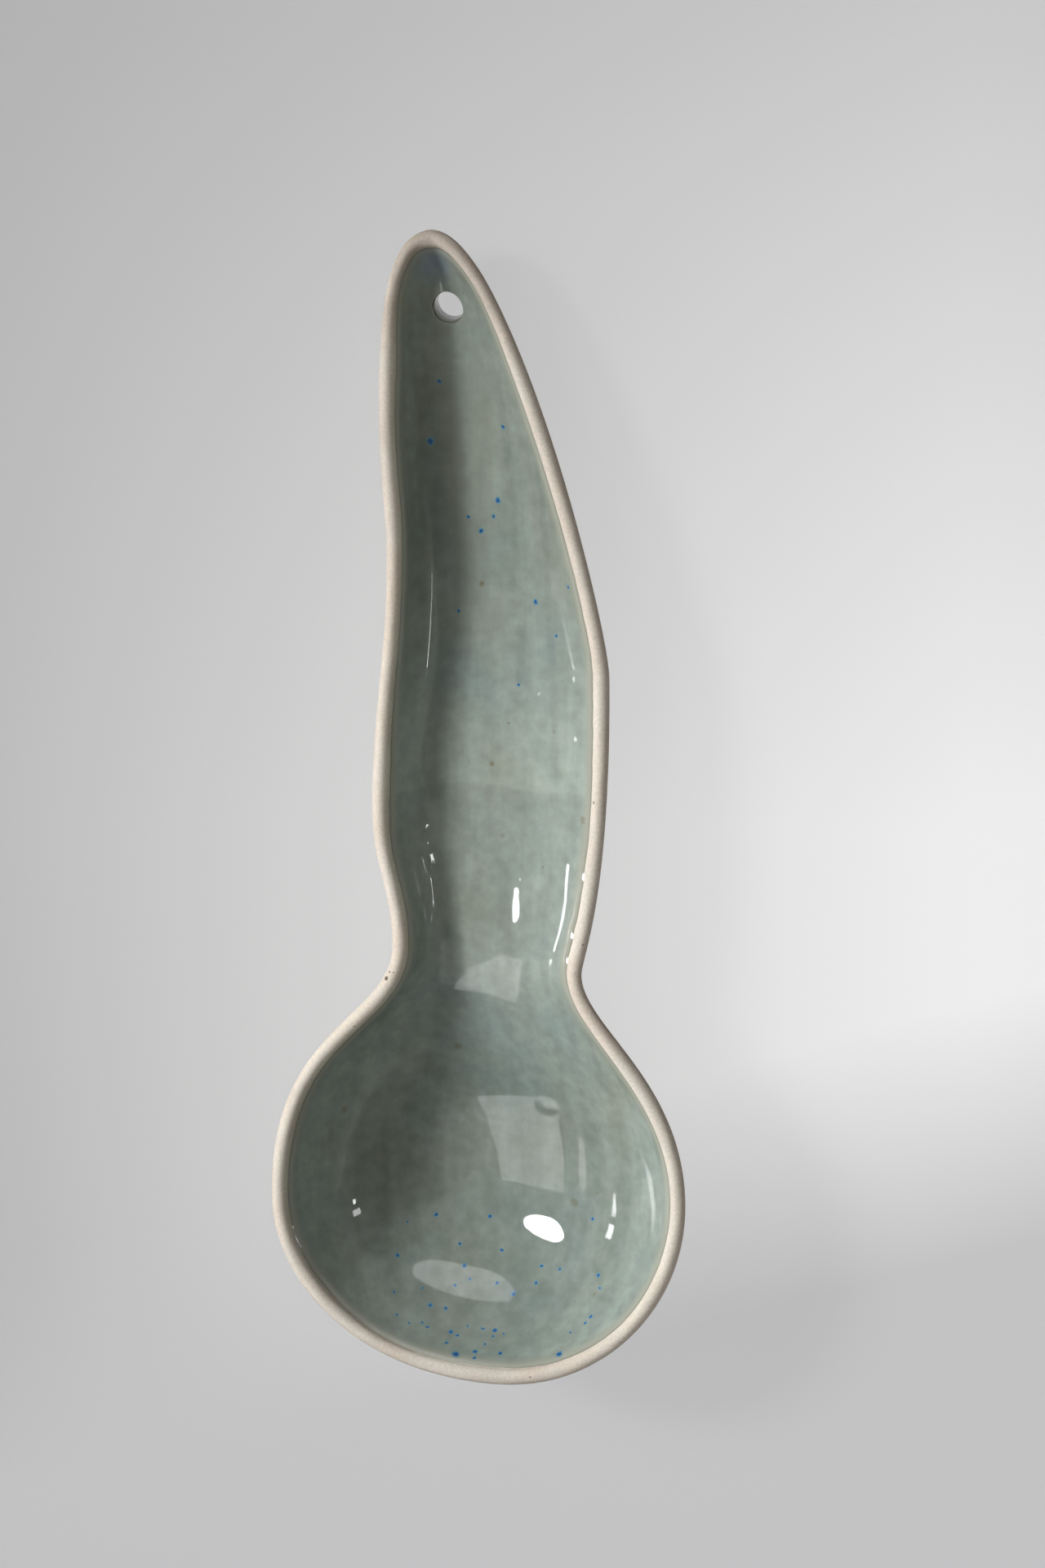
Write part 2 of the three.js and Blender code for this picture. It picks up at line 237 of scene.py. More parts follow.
def foot_along(y):
    """Where the rib that starts at a place on the edge meets the lowest line."""
    near = y / neck_distance
    taper = along_handle(0.77)
    far = (y - taper) / (tip[1] - taper)
    drawn_in = neck_distance * near**2 * (2 - near)
    drawn_back = taper + (tip[1] - taper) * (far - far**2 / 2)
    return np.where(y < neck_distance, drawn_in, np.where(y > taper, drawn_back, y))


def stretch(edge, start_y, end_y):
    """Evenly spaced points along an edge between two places on it, both included."""
    run = np.concatenate([[0], np.cumsum(np.hypot(*np.diff(edge, axis=0).T))])
    start, end = np.interp([start_y, end_y], edge[:, 1], run)
    places = np.linspace(start, end, math.ceil(abs(end - start) / rib_spacing) + 1)
    return np.column_stack([np.interp(places, run, edge[:, axis]) for axis in (0, 1)])


# Ribs counter-clockwise round the rim: up the right side, round the tip, down the left, round the front
seam_bowl = seam_distance - slip_thickness / 2
seam_handle = seam_distance + slip_thickness / 2
last_station = along_handle(0.94)
bowl_stations = np.linspace(0, seam_bowl, round(seam_bowl / rib_spacing))
handle_stations = np.linspace(seam_handle, last_station, round((last_station - seam_handle) / rib_spacing))
stations = np.concatenate([bowl_stations, [seam_distance], handle_stations])
on_right = np.column_stack([across(right_edge, stations), stations])
on_left = np.column_stack([across(left_edge, stations), stations])
round_tip = joined(stretch(right_edge, last_station, tip[1]), stretch(left_edge, tip[1], last_station))[1:-1]
round_front = joined(stretch(left_edge, 0, front[1]), stretch(right_edge, front[1], 0))[1:-1]
rim_line = np.concatenate([on_right, round_tip, on_left[::-1], round_front])
last_foot = len(stations) - 1
foot_of = np.concatenate([
    np.arange(len(stations)),
    np.full(len(round_tip), last_foot),
    np.arange(len(stations))[::-1],
    np.zeros(len(round_front), int),
])
rib_count = len(rim_line)
feet = np.column_stack([across(valley, foot_along(stations)), foot_along(stations)])


def swell(places, size):
    """Uneven rise and fall from -1 to 1 with waves of about that size, as hands leave in soft clay.

    Places shifted by some number give another pattern.
    """
    return np.array([noise.noise(Vector((x, y, 0)) / size) for x, y in places])


outward = np.roll(rim_line, -1, axis=0) - np.roll(rim_line, 1, axis=0)
outward = np.column_stack([outward[:, 1], -outward[:, 0]])
outward /= np.linalg.norm(outward, axis=1)[:, None]
rim_y = rim_line[:, 1]
rim_share = (rim_y - front[1]) / (tip[1] - front[1])
rim_sway = 0.45 * mm  # the rim rises and falls this far, in waves of about the next size
rim_wave = 34 * mm
width_sway = 0.12  # a share of its width
width_wave = 27 * mm
flank_thinning = 0.30  # on the two flanks of the tip, made up again at its end
end_thickening = 0.45
rim_top = rim_front + (rim_tip - rim_front) * rim_share + rim_sway * swell(rim_line, rim_wave)
rim_width = rim_thickness * (1 + width_sway * swell(rim_line + 0.3, width_wave))
near_tip = ease(rim_y, along_handle(0.80), along_handle(0.95))
rim_width *= 1 + near_tip * (end_thickening * outward[:, 1] ** 2 - flank_thinning)
rim_level = rim_top - rim_width / 2 - rim_tilt / 2  # its inner edge


broad_mark = 0.30 * mm  # heights of the waves that hands leave on the inside, and their sizes
broad_wave = 24 * mm
fine_mark = 0.10 * mm
fine_wave = 9 * mm
handle_smoothing = 0.65  # share of them that is smoothed away in the handle


def hand_marks(places):
    """Rise and fall of the inside, stronger in the pinched bowl than in the handle."""
    marks = broad_mark * swell(places, broad_wave) + fine_mark * swell(places + 0.7, fine_wave)
    return marks * (1 - handle_smoothing * ease(places[:, 1], 0.8 * neck_distance, 1.2 * neck_distance))


def seam_rise(y):
    """How far the joint stands proud at places along the spoon."""
    return seam_ridge * np.exp(-(((y - seam_distance) / seam_reach) ** 2))


def clear_of_rim(drop):
    """0 at the rim, 1 from a third of the drop downward."""
    return np.clip(3 * drop, 0, 1)


def hollow(angles):
    """Points of the inner surface on every rib at the given angles, with their share of the whole drop."""
    start = rim_line - outward * rim_width[:, None]
    level = rim_level[:, None]
    toward = (1 - np.cos(angles))[:, :, None]
    place = start[:, None, :] * (1 - toward) + feet[foot_of][:, None, :] * toward
    drop = (1 - np.cos(angles) ** 2) ** hollow_fullness
    ridge = seam_rise(stations[foot_of])[:, None] * drop
    height = level + (floor_height(place[:, :, 1]) - level) * drop + ridge
    height += hand_marks(place.reshape(-1, 2)).reshape(drop.shape) * clear_of_rim(drop)
    return np.dstack([place, height]), drop


def with_feet(grid, drop):
    """One list of points, ribs first and then the lowest line, where the ribs meet."""
    height = floor_height(feet[:, 1]) + seam_rise(stations) + hand_marks(feet)
    points = np.concatenate([grid.reshape(-1, 3), np.column_stack([feet, height])])
    return points, np.concatenate([drop.ravel(), np.ones(len(feet))])


rib_grid = np.arange(rib_count * row_count).reshape(rib_count, row_count)
surface_index = np.column_stack([rib_grid, rib_count * row_count + foot_of])


def strip_faces(index, rib):
    """Faces between one rib and the next, facing up."""
    here = index[rib]
    after = index[(rib + 1) % rib_count]
    faces = []
    for row in range(len(here) - 1):
        corners = [here[row], after[row], after[row + 1], here[row + 1]]
        faces.append(corners[:3] if corners[2] == corners[3] else corners)
    return faces


def all_strips(index):
    """Faces between every rib and the next, facing up."""
    return [face for rib in range(rib_count) for face in strip_faces(index, rib)]


def normals_of(points, faces):
    """Directions that a surface faces at its points."""
    total = np.zeros_like(points)
    for count in (3, 4):
        corners = np.array([face for face in faces if len(face) == count])
        first = points[corners[:, 2]] - points[corners[:, 0]]
        second = points[corners[:, -1]] - points[corners[:, 1]]
        facing = np.cross(first, second)
        for corner in range(count):
            np.add.at(total, corners[:, corner], facing)
    return total / np.linalg.norm(total, axis=1)[:, None]


surface_faces = all_strips(surface_index)
clay_angles = np.tile(np.linspace(0, math.pi / 2, row_count + 1)[:-1], (rib_count, 1))
inside, depth_share = with_feet(*hollow(clay_angles))
inside_normals = normals_of(inside, surface_faces)

# The outside follows the inside, thicker toward the floor, and is wiped flat where it meets the table
below_rim = np.concatenate([np.repeat(rim_top, row_count), np.full(len(feet), rim_front)]) - inside[:, 2]
thickness = np.concatenate([np.repeat(rim_width, row_count), np.full(len(feet), wall)])
thickness = thickness + (floor_thickness - thickness) * depth_share
scrape_mark = 0.25 * mm
scrape_wave = 15 * mm
tilt_start = 2.5 * mm  # below the rim, where its tilt begins to run out
tilt_end = 10 * mm
scraped = scrape_mark * swell(inside[:, :2] + 1.9, scrape_wave) * np.clip(2 * depth_share, 0, 1)
outside = inside - inside_normals * (thickness + scraped)[:, None]
outside[:, 2] += rim_tilt * (1 - ease(below_rim, tilt_start, tilt_end))
outside[:, 2] = np.maximum(outside[:, 2], 0)


# Marks of single fingers: a crease along the foot of the left wall of the handle, a short groove and four
# small lumps about the neck, and in the bowl two dents, three short ridges, a bead and a drip beside it
crease_line = smooth_line(mm * np.array([
    [-7.6, 74.0],
    [-10.0, 79.6],
    [-11.1, 88.3],
    [-8.4, 104.3],
    [-7.7, 114.3],
    [-8.8, 132.3],
    [-10.5, 149.3],
    [-11.8, 168.0],
]))
crease_height = 0.8 * mm
crease_back = 5 * mm  # how far it slopes away on the left, and on the right
crease_foot = 3 * mm
crease_start = (72 * mm, 96 * mm)  # it rises and runs out between these places along the handle
crease_end = (140 * mm, 168 * mm)
groove_middle = (8 * mm, 58 * mm)
groove_size = (4 * mm, 11 * mm)
groove_depth = 0.8 * mm
bead_middle = (12.3 * mm, 12.4 * mm)
bead_height = 0.5 * mm
bead_size = (0.9 * mm, 0.9 * mm)
drip_top = 13 * mm
drip_end = -17 * mm
drip_across = 18.6 * mm
drip_height = 0.25 * mm
drip_width = 1.5 * mm
dent_middles = mm * np.array([(25.5, 13.5), (30, 11)])
dent_depth = 0.35 * mm
dent_size = (0.9 * mm, 2.4 * mm)
ridge_middles = mm * np.array([(31.2, -5.5), (33.8, -8.5), (-24.4, -6.5)])
ridge_height = 0.30 * mm
ridge_size = (0.9 * mm, 4.2 * mm)
lump_middles = mm * np.array([(-10.9, 72.2), (-10.5, 68.6), (-9.9, 65.2), (-8.5, 53.4)])
lump_height = 0.36 * mm
lump_size = (0.7 * mm, 1.4 * mm)


def mound(points, middle, size):
    """1 at the middle of a soft mound with that reach across and along the spoon, 0 far from it."""
    away = ((points[:, 0] - middle[0]) / size[0]) ** 2 + ((points[:, 1] - middle[1]) / size[1]) ** 2
    return np.exp(-away / 2)


def beside_crease(points):
    """How far points lie to the right of the crease, and its share of its full height there."""
    y = points[:, 1]
    beside = points[:, 0] - np.interp(y, crease_line[:, 1], crease_line[:, 0])
    return beside, ease(y, *crease_start) * (1 - ease(y, *crease_end))


def finger_marks(points, drop):
    """How far the crease, ridges, lumps, bead and drip stand up, and how deep the groove and dents lie."""
    x, y = points[:, 0], points[:, 1]
    beside, crease_share = beside_crease(points)
    crease = np.where(beside < 0, np.exp(-((beside / crease_back) ** 2)), 1 - ease(beside, 0, crease_foot))
    marks = crease_height * crease * crease_share
    marks -= groove_depth * mound(points, groove_middle, groove_size)
    marks += bead_height * mound(points, bead_middle, bead_size)
    down_drip = ease(y, drip_end, 0.4 * drip_end) * (1 - ease(y, 0.6 * drip_top, drip_top))
    marks += drip_height * down_drip * np.exp(-(((x - drip_across) / drip_width) ** 2))
    for middle in dent_middles:
        marks -= dent_depth * mound(points, middle, dent_size)
    for middle in ridge_middles:
        marks += ridge_height * mound(points, middle, ridge_size)
    for middle in lump_middles:
        marks += lump_height * mound(points, middle, lump_size)
    return marks * clear_of_rim(drop)


inside[:, 2] += finger_marks(inside, depth_share)


def half_round_lip():
    """Points of the rim over each rib, from the inside to the outside, without those two ends."""
    inner = inside[surface_index[:, 0]]
    outer = outside[surface_index[:, 0]]
    run = np.roll(inner, -1, axis=0) - np.roll(inner, 1, axis=0)
    half = (inner - outer) / 2
    upward = np.cross(run, half)
    upward *= (np.linalg.norm(half, axis=1) / np.linalg.norm(upward, axis=1))[:, None]
    turns = np.linspace(0, math.pi, lip_steps + 1)[1:-1, None, None]
    lip = (inner + outer) / 2 + half * np.cos(turns) + upward * np.sin(turns)
    return lip.transpose(1, 0, 2).reshape(-1, 3)


clay_points = np.concatenate([inside, outside, half_round_lip()])
outside_index = surface_index + len(inside)
lip_grid = 2 * len(inside) + np.arange(rib_count * (lip_steps - 1)).reshape(rib_count, -1)
lip_index = np.column_stack([surface_index[:, 0], lip_grid, outside_index[:, 0]])


def turned(faces):
    """The same faces, facing the other way."""
    return [face[::-1] for face in faces]


def cut_faces(rib):
    """Cut face of the clay at one rib, facing on round the rim."""
    inner = surface_index[rib]
    outer = outside_index[rib]
    faces = [[inner[row], outer[row], outer[row + 1], inner[row + 1]] for row in range(row_count)]
    return faces + [list(lip_index[rib])]


def clay_faces(runs):
    """Faces of closed clay over runs of ribs, each given by its first and last rib."""
    faces = []
    for first, last in runs:
        rib = first
        while rib != last:
            faces += strip_faces(surface_index, rib)
            faces += turned(strip_faces(outside_index, rib))
            faces += turned(strip_faces(lip_index, rib))
            rib = (rib + 1) % rib_count
        faces += turned(cut_faces(first)) + cut_faces(last)
    return faces


cut_edge = math.radians(45)  # edges sharper than this stay sharp


def rounded(mesh):
    """Shades all faces of a mesh as one round form."""
    mesh.polygons.foreach_set("use_smooth", np.ones(len(mesh.polygons), bool))


def fired_piece(name, points, faces, marks):
    """A mesh object from those of the points that the faces use, smooth but for its cut edges."""
    used = np.unique(np.concatenate([np.ravel(face) for face in faces]))
    new_index = np.full(len(points), -1)
    new_index[used] = np.arange(len(used))
    mesh = bpy.data.meshes.new(name)
    mesh.from_pydata(points[used].tolist(), [], [new_index[face].tolist() for face in faces])
    for mark, values in marks.items():
        mesh.attributes.new(mark, "FLOAT", "POINT").data.foreach_set("value", values[used])
    rounded(mesh)
    mesh.set_sharp_from_angle(angle=cut_edge)
    piece = bpy.data.objects.new(name, mesh)
    bpy.context.scene.collection.objects.link(piece)
    return piece


def node(tree, kind, inputs=None, **settings):
    """A shader node with its settings, and each input either set or linked."""
    made = tree.nodes.new(kind)
    for key, value in settings.items():
        setattr(made, key, value)
    for socket, value in (inputs or {}).items():
        if isinstance(value, bpy.types.NodeSocket):
            tree.links.new(value, made.inputs[socket])
        else:
            made.inputs[socket].default_value = value
    return made


def new_finish(name):
    """A material, with its nodes, its shader and the places on the piece that wears it."""
    made = bpy.data.materials.new(name)
    made.use_nodes = True
    tree = made.node_tree
    place = tree.nodes.new("ShaderNodeTexCoord").outputs["Object"]
    return made, tree, tree.nodes["Principled BSDF"], place


def share_between(tree, value, low, high):
    """0 where the value is at low, 1 where it is at high."""
    return node(tree, "ShaderNodeMapRange", {0: value, 1: low, 2: high}).outputs[0]


def tinted(tree, share, colour, other, mode="MIX"):
    """The first colour, changed to the other by a share."""
    mixed = node(tree, "ShaderNodeMix", {0: share}, data_type="RGBA", blend_type=mode)
    for socket, value in ((6, colour), (7, other)):
        if isinstance(value, bpy.types.NodeSocket):
            tree.links.new(value, mixed.inputs[socket])
        else:
            mixed.inputs[socket].default_value = (*value, 1)
    return mixed.outputs[2]


def worked_out(tree, operation, *values, **settings):
    """The result of a math node on its values."""
    return node(tree, "ShaderNodeMath", dict(enumerate(values)), operation=operation, **settings).outputs[0]


def times(tree, first, second):
    """The product of two values."""
    return worked_out(tree, "MULTIPLY", first, second)


def measured(tree, operation, first, second):
    """The distance between two vectors, or another number that a vector node finds."""
    return node(tree, "ShaderNodeVectorMath", {0: first, 1: second}, operation=operation).outputs["Value"]


def scattered(tree, place, per_metre, share, size):
    """1 inside spots in a share of the cells of an uneven grid, the largest of that size in a cell."""
    cells = node(tree, "ShaderNodeTexVoronoi", {"Vector": place, "Scale": per_metre})
    which = node(tree, "ShaderNodeSeparateColor", {0: cells.outputs["Color"]}).outputs[0]
    reach = node(tree, "ShaderNodeMapRange", {0: which, 1: 1 - share, 2: 1, 3: 0, 4: size}).outputs[0]
    within = worked_out(tree, "SUBTRACT", reach, cells.outputs["Distance"])
    return share_between(tree, within, 0, size / 3)


def clouds(tree, place, per_metre, detail=3):
    """A cloudy value with about so many clouds in a metre."""
    noisy = node(tree, "ShaderNodeTexNoise", {"Vector": place, "Scale": per_metre, "Detail": detail})
    return noisy.outputs["Fac"]


def shading(tree, value, dark, light):
    """A grey that goes from dark to light as a cloudy value goes from low to high."""
    return node(tree, "ShaderNodeMapRange", {0: value, 1: 0.3, 2: 0.7, 3: dark, 4: light}).outputs[0]


def places_in_sight(surface, specks):
    """Where specks given by pixel and diameter lie on a surface, with the radius of each."""
    places = []
    for across, down, diameter in specks:
        hit = surface.ray_cast(camera.matrix_world.translation, line_of_sight((across, down)))[0]
        if hit:
            places.append((hit, diameter * mm / 2))
    return places


def nearness(tree, place, specks):
    """1 at the middle of a speck, 0.4 at its rim, 0 a little beyond it."""
    nearest = 0.0
    for middle, radius in specks:
        away = measured(tree, "DISTANCE", place, middle)
        near = worked_out(tree, "MULTIPLY_ADD", away, -0.6 / radius, 1.0)
        nearest = worked_out(tree, "MAXIMUM", nearest, near)
    return nearest


# Marks on the clay for its finish: 0 inside, then rising over the outer half of the lip and down the outside
# to 1. The browner colour they bring is partly toasting of the clay and partly painted shade.
lip_toast_and_shade = 0.45  # at the outer edge of the lip
lip_share = np.linspace(0, 1, lip_steps + 1)[1:-1]
outside_toast_and_shade_mark = np.concatenate([
    np.zeros(len(inside)),
    lip_toast_and_shade + (1 - lip_toast_and_shade) * ease(below_rim, 0.5 * mm, 6 * mm),
    np.tile(lip_toast_and_shade * ease(lip_share, 0.5, 1), rib_count),
])

clay_cream = (0.78, 0.715, 0.615)
clay_pink = (0.755, 0.655, 0.545)
clay_blushed_and_shaded = (0.55, 0.46, 0.38)
clay_toasted_and_shaded = (0.47, 0.375, 0.285)
clay_tan_and_shaded = (0.53, 0.44, 0.34)
iron_brown = (0.12, 0.07, 0.045)
blush_shade_start = 170 * mm  # along the handle, where the rim begins to turn pinker and to be painted darker toward the tip
blush_shade_end = 190 * mm

# Burnt-out grains on the rim, by pixel, with the diameter of each in millimetres
rim_pits = [(473, 1198, 0.9), (477, 1190, 0.4), (482, 1191, 0.3)]


def stoneware_colour(tree, place):
    """Cream on the rim, pinker and painted darker at the tip, browner on the outside from toasting and
    painted shade, with grains and pits of iron.
    """
    warmth = clouds(tree, place, per_metre=70)
    colour = tinted(tree, share_between(tree, warmth, 0.4, 0.65), clay_cream, clay_pink)
    along = node(tree, "ShaderNodeSeparateXYZ", {0: place}).outputs["Y"]
    # painted shade: the rim is made darker as well as pinker toward the tip
    blush_and_shade = times(tree, share_between(tree, along, blush_shade_start, blush_shade_end), 0.6)
    colour = tinted(tree, blush_and_shade, colour, clay_blushed_and_shaded)
    # painted shade: the outside and the outer half of the lip are made browner, partly toasting of the clay
    # and partly shade painted in
    outer = node(tree, "ShaderNodeAttribute", attribute_name="outside").outputs["Fac"]
    toast = clouds(tree, place, per_metre=38)
    toasted_and_shaded = tinted(tree, share_between(tree, toast, 0.35, 0.65), clay_toasted_and_shaded, clay_tan_and_shaded)
    colour = tinted(tree, outer, colour, toasted_and_shaded)
    sand = clouds(tree, place, per_metre=1900, detail=2)
    colour = tinted(tree, 1.0, colour, shading(tree, sand, dark=0.9, light=1.06), "MULTIPLY")
    grains = scattered(tree, place, per_metre=420, share=0.10, size=0.17)
    colour = tinted(tree, times(tree, grains, 0.7), colour, iron_brown)
    rim_faces = [[int(corner) for corner in face] for face in all_strips(lip_index)]
    rim_surface = BVHTree.FromPolygons(clay_points.tolist(), rim_faces)
    pits = nearness(tree, place, places_in_sight(rim_surface, rim_pits))
    return tinted(tree, times(tree, share_between(tree, pits, 0.3, 0.5), 0.9), colour, iron_brown)


def bare_clay():
    """Fired stoneware, matt, with the tooth of fine sand."""
    clay, tree, shader, place = new_finish("bare_clay")
    tree.links.new(stoneware_colour(tree, place), shader.inputs["Base Color"])
    shader.inputs["Roughness"].default_value = 0.88
    shader.inputs["Specular IOR Level"].default_value = 0.25
    tooth = clouds(tree, place, per_metre=1300)
    bump = node(tree, "ShaderNodeBump", {"Strength": 0.35, "Distance": 0.12 * mm, "Height": tooth})
    tree.links.new(bump.outputs[0], shader.inputs["Normal"])
    return clay


clay_finish = bare_clay()
bowl_face = len(bowl_stations) - 1  # ribs on the right where the bowl and the handle meet the slip
handle_face = len(bowl_stations) + 1
left_of = {foot: len(stations) + len(round_tip) + last_foot - foot for foot in (bowl_face, handle_face)}

bowl_ribs = [(left_of[bowl_face], bowl_face)]
bowl = fired_piece("bowl_clay", clay_points, clay_faces(bowl_ribs), {"outside": outside_toast_and_shade_mark})
bowl.data.materials.append(clay_finish)
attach(bowl, "root")
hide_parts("bowl")


# Handle
# A strip of the same clay, bent up into a trough and drawn to a rounded tip, with a hole to hang it by.
# The hole is punched through the soft floor with a tube, which leaves its edges a little rounded.
hole_diameter = 6.4 * mm
hole_from_tip = 15.5 * mm
hole_offset = 4 * mm  # left of the middle of the bowl
hole_lean = math.radians(10)  # from upright, the lower end toward the tip
hole_rounding = 0.4 * mm
hole_y = tip[1] - hole_from_tip
hole_middle = floor_height(hole_y) - floor_thickness / 2
hole_frame = Matrix.Translation((-hole_offset, hole_y, hole_middle)) @ Matrix.Rotation(hole_lean, 4, "X")


def lathed(outline, closed):
    """Points and faces of a form turned about Z, from an outline of distances from Z and heights.

    A closed outline gives a ring, an open one a rod with two flat ends.
    """
    sides = 72
    turns = 2 * math.pi * np.arange(sides) / sides
    points = []
    for radius, z in outline:
        points += [(radius * math.cos(turn), radius * math.sin(turn), z) for turn in turns]
    faces = []
    for ring in range(len(outline) if closed else len(outline) - 1):
        above = (ring + 1) % len(outline)
        for side in range(sides):
            after = (side + 1) % sides
            lower = [ring * sides + side, ring * sides + after]
            upper = [above * sides + after, above * sides + side]
            faces.append(lower + upper)
    if not closed:
        faces.append(list(range(sides))[::-1])
        faces.append(list(range((len(outline) - 1) * sides, len(outline) * sides)))
    return points, faces


def punch(name, radius, rounding, half):
    """A rod that swells at both mouths of the hole, half its depth from the middle, to be cut out."""
    turns = np.linspace(0, math.pi / 2, 7)
    swelling = radius + rounding * (1 - np.cos(turns))
    heights = half - rounding + rounding * np.sin(turns)
    curve = list(zip(swelling, heights))
    outline = [(r, -z) for r, z in reversed(curve)] + curve
    outline = [(radius + rounding, -3 * half)] + outline + [(radius + rounding, 3 * half)]
    mesh = bpy.data.meshes.new(name)
    points, faces = lathed(outline, closed=False)
    mesh.from_pydata(points, [], faces)
    rod = bpy.data.objects.new(name, mesh)
    rod.matrix_world = hole_frame
    bpy.context.scene.collection.objects.link(rod)
    return rod


def punched(piece, rod):
    """Cuts the rod out of a piece and takes the rod away."""
    cut = piece.modifiers.new("punched", "BOOLEAN")
    cut.object = rod
    cut.solver = "MANIFOLD"
    bpy.context.view_layer.update()
    shaped = bpy.data.meshes.new_from_object(piece.evaluated_get(bpy.context.evaluated_depsgraph_get()))
    piece.modifiers.remove(cut)
    piece.data = shaped
    bpy.data.objects.remove(rod)
    rounded(shaped)
    shaped.set_sharp_from_angle(angle=cut_edge)


handle_ribs = [(handle_face, left_of[handle_face])]
handle = fired_piece("handle_clay", clay_points, clay_faces(handle_ribs), {"outside": outside_toast_and_shade_mark})
handle.data.materials.append(clay_finish)
punched(handle, punch("clay_punch", hole_diameter / 2, hole_rounding, floor_thickness / 2))
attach(handle, "root")
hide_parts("handle")


# Luting slip
# The thin layer of liquid clay that sticks the handle to the bowl, squeezed to a low ridge and sponged over.
# It fires to the same stoneware as the two pieces it joins.
slip_ribs = [(bowl_face, handle_face), (left_of[handle_face], left_of[bowl_face])]
slip = fired_piece("slip_seam", clay_points, clay_faces(slip_ribs), {"outside": outside_toast_and_shade_mark})
slip.data.materials.append(clay_finish)
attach(slip, "root")
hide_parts("luting_slip")


# Glaze lining
# A coat of grey-green celadon glass, brushed on the inside and melted smooth, with specks of blue and iron.
# It is thin along its ragged upper edge, where it stops below the bare rim, and pools in the hollows.
glaze_thickness = 0.55 * mm
glaze_edge = 0.45 * mm  # how far below the rounding of the rim it stops
glaze_edge_sway = 0.4 * mm
glaze_edge_least = 0.1 * mm
glaze_bite = 0.05 * mm  # how far the melt eats into the clay
edge_taper = 0.8 * mm  # over about this distance from its edge the coat grows to its full thickness
pool_taper = 2.2 * mm  # and to its full colour
edge_lift = 1.07  # above 1 brings the edge a little nearer to the rim

long_sway = 0.7 * swell(rim_line, 9 * mm)
short_sway = 0.5 * swell(rim_line, 2.6 * mm)
edge_drop = glaze_edge + glaze_edge_sway * (long_sway + short_sway)
rim_depth = rim_level - floor_height(feet[foot_of, 1])
edge_share = np.maximum(edge_drop, glaze_edge_least) / (edge_lift * rim_depth)
edge_angle = edge_share ** (1 / (2 * hollow_fullness))
row_share = np.linspace(0, 1, row_count + 1)[:-1]
glaze_angles = edge_angle[:, None] + (math.pi / 2 - edge_angle)[:, None] * row_share
glaze_grid, glaze_drop = hollow(glaze_angles)
bed, bed_drop = with_feet(glaze_grid, glaze_drop)
bed[:, 2] += finger_marks(bed, bed_drop)
bed_normals = normals_of(bed, surface_faces)
steps = np.linalg.norm(np.diff(glaze_grid, axis=1), axis=2)
from_edge = np.column_stack([np.zeros(rib_count), np.cumsum(steps, axis=1)])
from_edge = np.concatenate([from_edge.ravel(), np.full(len(feet), 30 * mm)])  # far away on the lowest line
coat_share = np.tanh(from_edge / edge_taper)
glaze_top = bed + bed_normals * (glaze_thickness * coat_share)[:, None]
glaze_under = bed - bed_normals * (glaze_bite * coat_share)[:, None]
top_index = surface_index + len(bed)
top_index[:, 0] = surface_index[:, 0]
glaze_faces = all_strips(top_index) + turned(surface_faces)
glaze_points = np.concatenate([glaze_under, glaze_top])

# Marks on the glaze for its colours: how far it lies from its edge, and how near to the right of the crease,
# where shade is painted
pool_mark = np.tanh(from_edge / pool_taper)
from_crease = beside_crease(bed)[0]
crease_shade_across = ease(from_crease, -0.6 * mm, 0.4 * mm) * (1 - ease(from_crease, 0.4 * mm, 6 * mm))
crease_shade_along = ease(bed[:, 1], 72 * mm, 84 * mm) * (1 - ease(bed[:, 1], 160 * mm, 176 * mm))
glaze_marks = {"pool": np.tile(pool_mark, 2), "crease_shade": np.tile(crease_shade_across * crease_shade_along, 2)}
glaze = fired_piece("glaze_coat", glaze_points, glaze_faces, glaze_marks)

celadon = (0.350, 0.398, 0.348)
celadon_deep = (0.298, 0.346, 0.296)
celadon_blue = (0.300, 0.368, 0.348)
celadon_olive = (0.325, 0.342, 0.270)
celadon_brown = (0.292, 0.304, 0.250)
celadon_thin = (0.39, 0.395, 0.325)
edge_brown = (0.17, 0.165, 0.115)
iron_ochre = (0.185, 0.150, 0.070)
cobalt = (0.020, 0.120, 0.350)
cobalt_halo = (0.130, 0.310, 0.430)
cobalt_stain = (0.200, 0.275, 0.370)
glint_pale = (0.62, 0.64, 0.60)

# Grains of cobalt that show in the picture, by pixel, with the diameter of each in millimetres
handle_specks = [
    (527, 540, 1.3), (538, 467, 0.8), (616, 523, 0.8), (610, 613, 1.1), (574, 633, 0.7), (605, 632, 0.7),
    (589, 650, 0.9), (656, 737, 1.0), (562, 748, 0.7), (681, 779, 0.6), (696, 719, 0.6), (635, 839, 0.7),
]
bowl_specks = [
    (534, 1487, 0.8), (600, 1489, 0.8), (726, 1493, 0.7), (563, 1523, 0.7), (615, 1531, 0.7),
    (487, 1537, 0.8), (569, 1550, 0.9), (664, 1550, 0.8), (686, 1554, 0.7), (733, 1562, 0.9),
    (609, 1571, 0.7), (657, 1571, 0.8), (629, 1584, 1.0), (527, 1598, 0.9), (546, 1602, 0.7),
    (724, 1612, 0.8), (592, 1627, 0.7), (606, 1629, 0.9), (552, 1631, 1.0), (547, 1644, 0.8),
    (582, 1655, 1.0), (613, 1657, 0.8), (558, 1658, 1.4), (685, 1658, 1.3), (499, 1496, 0.5),
    (576, 1566, 0.5), (558, 1574, 0.6), (517, 1577, 0.5), (483, 1582, 0.5), (486, 1610, 0.5),
    (501, 1620, 0.5), (517, 1620, 0.6), (524, 1625, 0.6), (573, 1624, 0.6), (560, 1635, 0.7),
    (604, 1636, 0.6), (617, 1633, 0.5), (594, 1646, 0.6), (581, 1663, 0.8), (717, 1620, 0.7),
    (699, 1631, 0.5), (735, 1577, 0.6),
]
